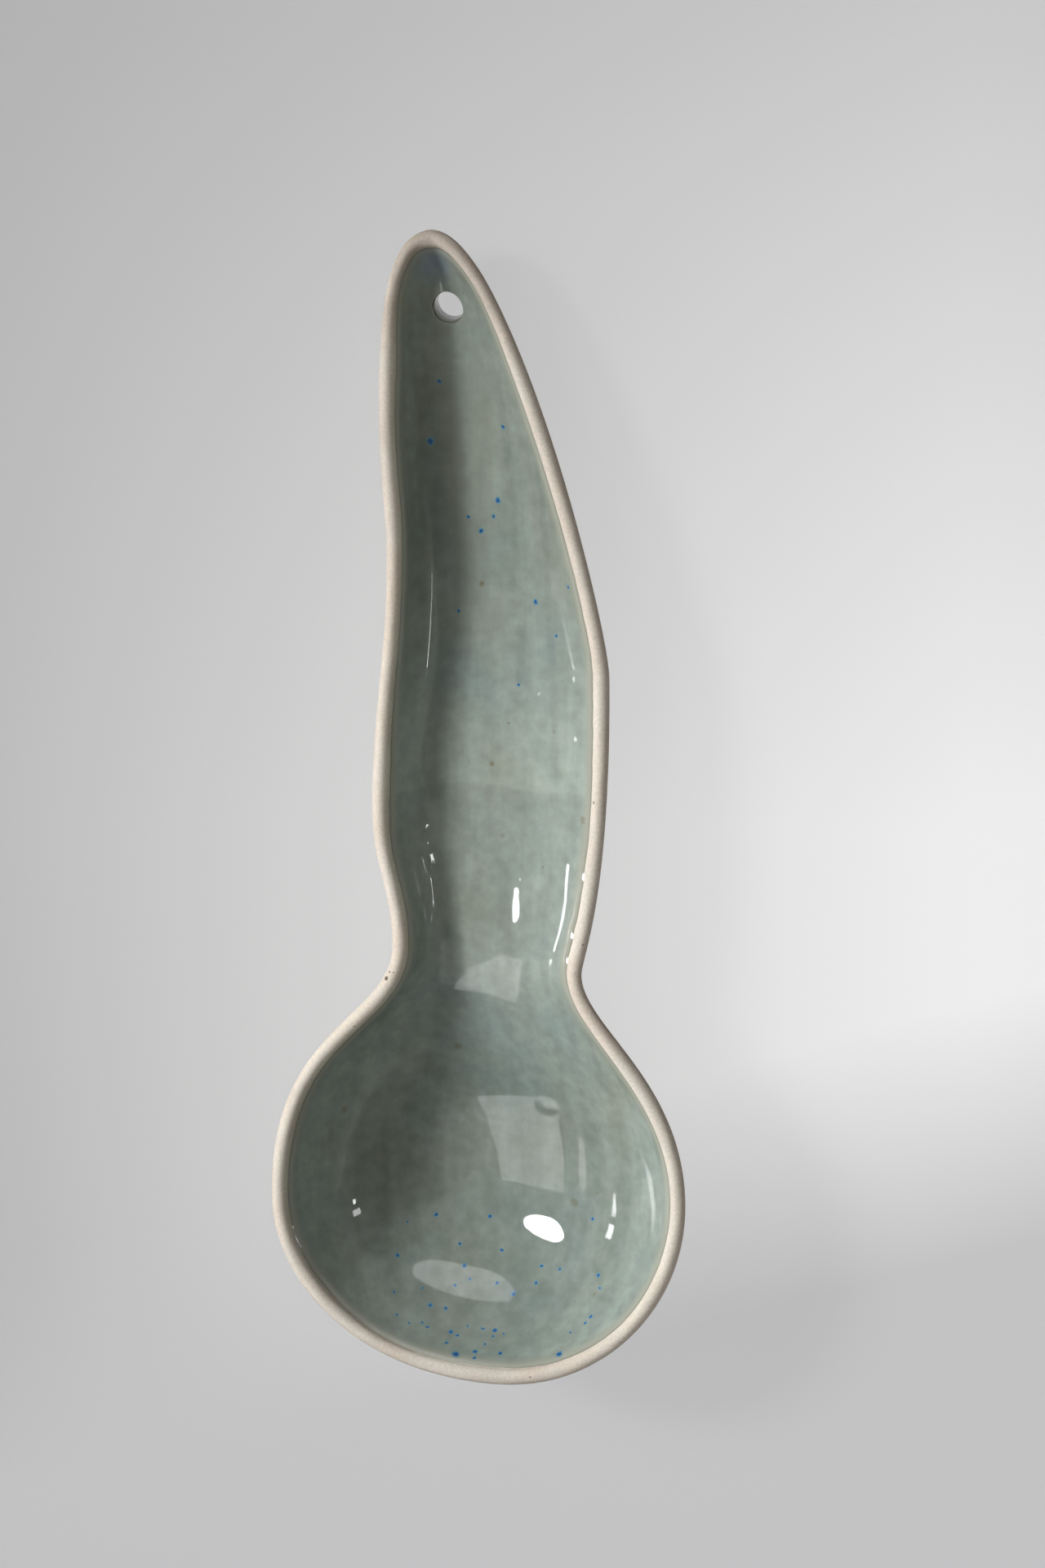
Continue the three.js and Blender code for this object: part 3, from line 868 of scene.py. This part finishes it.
iron_specks = [(567, 359, 0.7), (623, 886, 0.6), (665, 1062, 0.6), (603, 935, 1.1), (590, 715, 1.4)]
# Two pale dots, by pixel, with the diameter of each in millimetres: painted highlights for small glints
glint_specks = [(660, 850, 0.7), (637, 1077, 0.6)]
tip_stain = (530, 322, 7)  # cobalt that has melted into the glaze
bowl_pool = (1 * mm, -8 * mm, 8 * mm)  # the middle of the pool of thicker glaze in the bowl
pool_rim = (36 * mm, 26 * mm)  # from that middle, where the pool begins and where it is full
pool_shade = (0.76, 0.76, 0.76)
reflection_step_start = (82.5 * mm, 83.5 * mm)  # along the spoon, where a painted brighter reflection begins, and where it fades
reflection_step_end = (102 * mm, 85 * mm)
reflection_step_lift = (1.16, 1.16, 1.15)
brown_start = (100 * mm, 135 * mm)  # along the spoon, where brown bands come in, and where they go
brown_end = (178 * mm, 160 * mm)
brush_start = (100 * mm, 140 * mm)  # where the brush was drier
# black, for the painted shade beside the crease
crease_shade_colour = (0, 0, 0)


def brushed_glass(tree, place):
    """Colour of the coat: clouds, streaks of the brush along the spoon, a painted brighter reflection beyond
    the neck and a pool.
    """
    mottling = clouds(tree, place, per_metre=170, detail=5)
    colour = tinted(tree, share_between(tree, mottling, 0.36, 0.64), celadon_deep, celadon)
    drift = clouds(tree, place, per_metre=47)
    colour = tinted(tree, times(tree, share_between(tree, drift, 0.5, 0.72), 0.7), colour, celadon_blue)
    colour = tinted(tree, times(tree, share_between(tree, drift, 0.48, 0.28), 0.5), colour, celadon_olive)
    stretched = node(tree, "ShaderNodeMapping", {"Vector": place, "Scale": (1, 0.08, 1)}).outputs[0]
    streaks = clouds(tree, stretched, per_metre=260, detail=4)
    colour = tinted(tree, 1.0, colour, shading(tree, streaks, dark=0.89, light=1.09), "MULTIPLY")
    flecks = clouds(tree, place, per_metre=420)
    colour = tinted(tree, 1.0, colour, shading(tree, flecks, dark=0.90, light=1.08), "MULTIPLY")
    along = node(tree, "ShaderNodeSeparateXYZ", {0: place}).outputs["Y"]
    bands = share_between(tree, clouds(tree, stretched, per_metre=170, detail=4), 0.36, 0.64)
    upper = times(tree, share_between(tree, along, *brown_start), share_between(tree, along, *brown_end))
    colour = tinted(tree, times(tree, times(tree, upper, bands), 0.6), colour, celadon_brown)
    bristles = clouds(tree, stretched, per_metre=95, detail=2)
    brushed = tinted(tree, 1.0, colour, shading(tree, bristles, dark=0.78, light=1.02), "MULTIPLY")
    colour = tinted(tree, share_between(tree, along, *brush_start), colour, brushed)
    # painted reflection: the coat is made brighter beyond a wavy line across the handle, where a paler part
    # of the room shows in the glaze
    wavy = worked_out(tree, "MULTIPLY_ADD", clouds(tree, place, per_metre=90), 4 * mm, along)
    reflection_step = share_between(tree, wavy, *reflection_step_start)
    reflection_step = times(tree, reflection_step, share_between(tree, along, *reflection_step_end))
    colour = tinted(tree, reflection_step, colour, reflection_step_lift, "MULTIPLY")
    from_middle = measured(tree, "DISTANCE", place, bowl_pool)
    pooled = times(tree, share_between(tree, from_middle, *pool_rim), 0.85)
    return tinted(tree, pooled, colour, tinted(tree, 1.0, colour, pool_shade, "MULTIPLY"))


def thinned(tree, colour):
    """The colour, with painted shade beside the crease, paler near the edge of the coat and brown on that
    edge.
    """
    crease_shade = node(tree, "ShaderNodeAttribute", attribute_name="crease_shade").outputs["Fac"]
    # painted shade: a dark band along the floor right of the crease, where the wall's shadow falls
    colour = tinted(tree, times(tree, crease_shade, 0.22), colour, crease_shade_colour)
    pool = node(tree, "ShaderNodeAttribute", attribute_name="pool").outputs["Fac"]
    colour = tinted(tree, share_between(tree, pool, 0.9, 0.4), colour, celadon_thin)
    return tinted(tree, times(tree, share_between(tree, pool, 0.16, 0.08), 0.35), colour, edge_brown)


def specked(tree, place, colour):
    """The colour with a stain at the tip, freckles of iron, ragged specks of iron and cobalt, and two pale
    dots of painted highlight.
    """
    surface = BVHTree.FromObject(glaze, bpy.context.evaluated_depsgraph_get())
    stain = nearness(tree, place, places_in_sight(surface, [tip_stain]))
    colour = tinted(tree, times(tree, stain, 0.75), colour, cobalt_stain)
    wobble = node(tree, "ShaderNodeTexNoise", {"Vector": place, "Scale": 1500, "Detail": 2}).outputs["Color"]
    even = (0.5, 0.5, 0.5)
    wobble = node(tree, "ShaderNodeVectorMath", {0: wobble, 1: even}, operation="SUBTRACT").outputs[0]
    shift = {0: wobble, 1: (0.9 * mm, 0.9 * mm, 0.9 * mm), 2: place}
    ragged = node(tree, "ShaderNodeVectorMath", shift, operation="MULTIPLY_ADD").outputs[0]
    freckles = scattered(tree, ragged, per_metre=170, share=0.16, size=0.2)
    colour = tinted(tree, times(tree, freckles, 0.4), colour, iron_ochre)
    iron = nearness(tree, ragged, places_in_sight(surface, iron_specks))
    colour = tinted(tree, times(tree, share_between(tree, iron, 0.3, 0.8), 0.7), colour, iron_ochre)
    # painted highlights: two pale dots where small glints show
    glint_near = nearness(tree, ragged, places_in_sight(surface, glint_specks))
    colour = tinted(tree, share_between(tree, glint_near, 0.3, 0.6), colour, glint_pale)
    blue = nearness(tree, ragged, places_in_sight(surface, handle_specks + bowl_specks))
    colour = tinted(tree, times(tree, share_between(tree, blue, 0.05, 0.4), 0.8), colour, cobalt_halo)
    return tinted(tree, share_between(tree, blue, 0.4, 0.6), colour, cobalt)


def celadon_glaze():
    """Glossy grey-green glass with a faint ripple."""
    glass, tree, shader, place = new_finish("celadon_glaze")
    colour = thinned(tree, brushed_glass(tree, place))
    tree.links.new(specked(tree, place, colour), shader.inputs["Base Color"])
    shader.inputs["Roughness"].default_value = 0.03
    ripple = clouds(tree, place, per_metre=230, detail=1)
    bump = node(tree, "ShaderNodeBump", {"Strength": 0.16, "Distance": 0.2 * mm, "Height": ripple})
    tree.links.new(bump.outputs[0], shader.inputs["Normal"])
    return glass


glaze.data.materials.append(celadon_glaze())
half_floor = floor_thickness / 2
punch_clearance = 0.1 * mm
punch_rounding = 0.05 * mm
punched(glaze, punch("glaze_punch", hole_diameter / 2 + punch_clearance, punch_rounding, half_floor))

# The glaze runs a little way into the hole and rounds its upper edge
ring_outline = np.array([hole_diameter / 2, 0]) + np.array([
    [0.05 * mm, 0.6 * mm - half_floor],
    [0.10 * mm, half_floor - 0.5 * mm],
    [0.60 * mm, half_floor - 0.1 * mm],
    [1.15 * mm, half_floor + 0.30 * mm],
    [0.90 * mm, half_floor + 0.52 * mm],
    [0.55 * mm, half_floor + 0.62 * mm],
    [0.25 * mm, half_floor + 0.56 * mm],
    [0.02 * mm, half_floor + 0.34 * mm],
    [-0.09 * mm, half_floor - 0.05 * mm],
    [-0.10 * mm, 0.8 * mm - half_floor],
])
ring_points, ring_faces = lathed(ring_outline, closed=True)
ring_mesh = bpy.data.meshes.new("hole_ring")
ring_mesh.from_pydata([hole_frame @ Vector(point) for point in ring_points], [], ring_faces)
shape = bmesh.new()
shape.from_mesh(glaze.data)
shape.from_mesh(ring_mesh)
shape.to_mesh(glaze.data)
shape.free()
ring_pool = 0.8  # nearly its full colour
for mark in glaze.data.attributes["pool"].data[-len(ring_points):]:
    mark.value = ring_pool
rounded(glaze.data)
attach(glaze, "root")
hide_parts("glaze_lining")


# Table
# A plain pale sheet of matt paper that the spoon lies on, for its shadow. It isn't part of the spoon.
# Its glow is painted brighter on the right of the spoon and greyer beyond its tip, as the light falls, and
# darker in front of the bowl and to its right as a painted shadow.
table_half = 3.0  # metres from its middle to an edge
table_mesh = bpy.data.meshes.new("table")
corners = [(-1, -1), (1, -1), (1, 1), (-1, 1)]
table_mesh.from_pydata([(x * table_half, y * table_half, 0) for x, y in corners], [], [[0, 1, 2, 3]])
table = bpy.data.objects.new("table", table_mesh)
bpy.context.scene.collection.objects.link(table)


def seen_rays(tree):
    """1 for rays from the camera, a reflection or a clear piece, 0 for the light that falls on things."""
    path = tree.nodes.new("ShaderNodeLightPath")
    seen = worked_out(tree, "ADD", path.outputs["Is Camera Ray"], path.outputs["Is Glossy Ray"])
    return worked_out(tree, "ADD", seen, path.outputs["Is Transmission Ray"], use_clamp=True)


paper_grey = (0.55, 0.545, 0.545, 1)
glow_left = (0.50, 0.50, 0.50)
glow_right = (0.99, 0.99, 0.99)
glow_beyond_left = (0.46, 0.46, 0.465)
glow_beyond_right = (0.62, 0.62, 0.625)
glow_painted_shadow = (0.60, 0.60, 0.61)
glow_share = 0.78
glow_across = (-0.12, 0.10)  # in metres, from the colours on the left to those on the right
glow_along = (0.07, 0.27)  # from the colours beside the spoon to those beyond it
painted_shadow_direction = (-0.3, 1, 0)  # direction in which the painted shadow in front gives way
painted_shadow_edge = (0.005, -0.05)


def pale_paper():
    """Matt pale paper that glows where it is seen, so that the shadow on it stays pale."""
    paper, tree, shader, place = new_finish("pale_paper")
    shader.inputs["Base Color"].default_value = paper_grey
    shader.inputs["Roughness"].default_value = 0.9
    shader.inputs["Specular IOR Level"].default_value = 0.1
    axes = node(tree, "ShaderNodeSeparateXYZ", {0: place})
    rightward = share_between(tree, axes.outputs["X"], *glow_across)
    pale = tinted(tree, rightward, glow_left, glow_right)
    beyond = tinted(tree, rightward, glow_beyond_left, glow_beyond_right)
    pale = tinted(tree, share_between(tree, axes.outputs["Y"], *glow_along), pale, beyond)
    # painted shadow: the glow is darker in front of the bowl, reaching further back on the right
    painted_shadow_slant = measured(tree, "DOT_PRODUCT", place, painted_shadow_direction)
    pale = tinted(tree, share_between(tree, painted_shadow_slant, *painted_shadow_edge), pale, glow_painted_shadow)
    glow = node(tree, "ShaderNodeEmission", {"Color": pale, "Strength": 1})
    share = times(tree, seen_rays(tree), glow_share)
    mixed = node(tree, "ShaderNodeMixShader", {0: share, 1: shader.outputs[0], 2: glow.outputs[0]})
    tree.links.new(mixed.outputs[0], tree.nodes["Material Output"].inputs["Surface"])
    return paper


table_mesh.materials.append(pale_paper())


# Light
# A round soft lamp from the upper left on the bowl, a steeper one on the handle, a low broad one from the
# left, and a low strip from the front right to fill. Cards round about show in the glaze alone. The room is
# dimmer on the right, and pale near the horizon where it is seen.
spoon_middle = (0.005, 0.06, 0)
lamp_white = (0.99, 1.0, 1.03)
room_left = (0.89, 0.88, 0.84)
room_right = (0.60, 0.59, 0.56)
room_strength = 0.235
room_across = (-0.2, 0.9)  # from the colour on the left to that on the right
horizon_pale = (0.50, 0.50, 0.50)  # seen low in the room, and higher up
ceiling_grey = (0.195, 0.193, 0.183)
horizon_top = (0.12, 0.30)  # from the one to the other


def soft_lamp(name, toward, distance, size, power, shape="RECTANGLE", aim=spoon_middle):
    """A lamp in a direction from the middle of the spoon. Its second size lies along the spoon."""
    light = bpy.data.lights.new(name, "AREA")
    light.shape = shape
    light.size, light.size_y = size
    light.energy = power
    lamp = bpy.data.objects.new(name, light)
    stand = Vector(spoon_middle) + Vector(toward).normalized() * distance
    back = (stand - Vector(aim)).normalized()
    side = Vector((0, 1, 0)).cross(back).normalized()
    turn = Matrix((side, back.cross(side), back)).transposed().to_4x4()
    lamp.matrix_world = Matrix.Translation(stand) @ turn
    lamp.visible_camera = False
    bpy.context.scene.collection.objects.link(lamp)
    return lamp


def beam(lamp, degrees):
    """Narrows a lamp to a beam on the place that it is aimed at."""
    lamp.data.spread = math.radians(degrees)


bowl_middle = (0.012, 0.02, 0)
upper_handle = (0.0, 0.15, 0)
bowl_wall = (0.032, -0.007, 0.02)  # on its right
key_lamp = soft_lamp("key_lamp", (-0.70, 0.33, 0.635), 0.9, (0.34, 0.34), 0.245, "ELLIPSE", bowl_middle)
beam(key_lamp, 24)  # so that the far end of the handle lies in dimmer light
high_lamp = soft_lamp("high_lamp", (-0.36, 0.28, 0.89), 0.9, (0.34, 0.34), 0.027, "ELLIPSE", upper_handle)
beam(high_lamp, 24)
side_lamp = soft_lamp("side_lamp", (-0.93, 0.10, 0.33), 0.9, (0.30, 0.50), 2.2)
fill_lamp = soft_lamp("fill_lamp", (0.60, -0.80, 0.05), 0.8, (0.07, 0.5), 0.9)
for lamp in (key_lamp, high_lamp, side_lamp, fill_lamp):
    lamp.data.color = lamp_white
    lamp.visible_glossy = False
low_card = soft_lamp("low_card", (-0.95, -0.14, 0.30), 0.91, (0.045, 0.13), 0.0016, aim=bowl_wall)
beam(low_card, 16)
for card in (
    low_card,
    soft_lamp("key_glint", (-0.665, 0.21, 0.715), 0.9, (0.28, 0.22), 6.4, "ELLIPSE"),
    soft_lamp("front_panel", (-0.568, -0.444, 0.693), 0.838, (0.36, 0.54), 1.55),
    soft_lamp("front_panel_side", (-0.1045, -0.4163, 0.9035), 0.893, (0.54, 0.54), 0.52),
    soft_lamp("left_card", (-0.95, 0.035, 0.31), 0.91, (0.045, 0.09), 0.19),
    soft_lamp("right_card", (0.9214, 0.045, 0.386), 0.888, (0.03, 0.07), 0.11),
    soft_lamp("right_strip", (0.895, 0.208, 0.394), 0.9, (0.09, 0.09), 0.20),
    soft_lamp("overhead_card", (0.03, 0.87, 0.46), 0.9, (0.74, 0.29), 1.55, "ELLIPSE"),
):
    card.visible_diffuse = False  # seen in the glaze, without lighting the clay

world = bpy.data.worlds.new("pale_room")
bpy.context.scene.world = world
world.use_nodes = True
room = world.node_tree
room_light = room.nodes["Background"]
room_light.inputs["Strength"].default_value = room_strength
ray = room.nodes.new("ShaderNodeTexCoord").outputs["Generated"]
facing = node(room, "ShaderNodeSeparateXYZ", {0: ray}).outputs
away = share_between(room, facing["X"], *room_across)
room.links.new(tinted(room, away, room_left, room_right), room_light.inputs["Color"])
above = share_between(room, facing["Z"], *horizon_top)
seen_colour = tinted(room, above, horizon_pale, ceiling_grey)
seen_room = node(room, "ShaderNodeBackground", {"Color": seen_colour, "Strength": 1})
both = {0: seen_rays(room), 1: room_light.outputs[0], 2: seen_room.outputs[0]}
walls = node(room, "ShaderNodeMixShader", both)
room.links.new(walls.outputs[0], room.nodes["World Output"].inputs["Surface"])
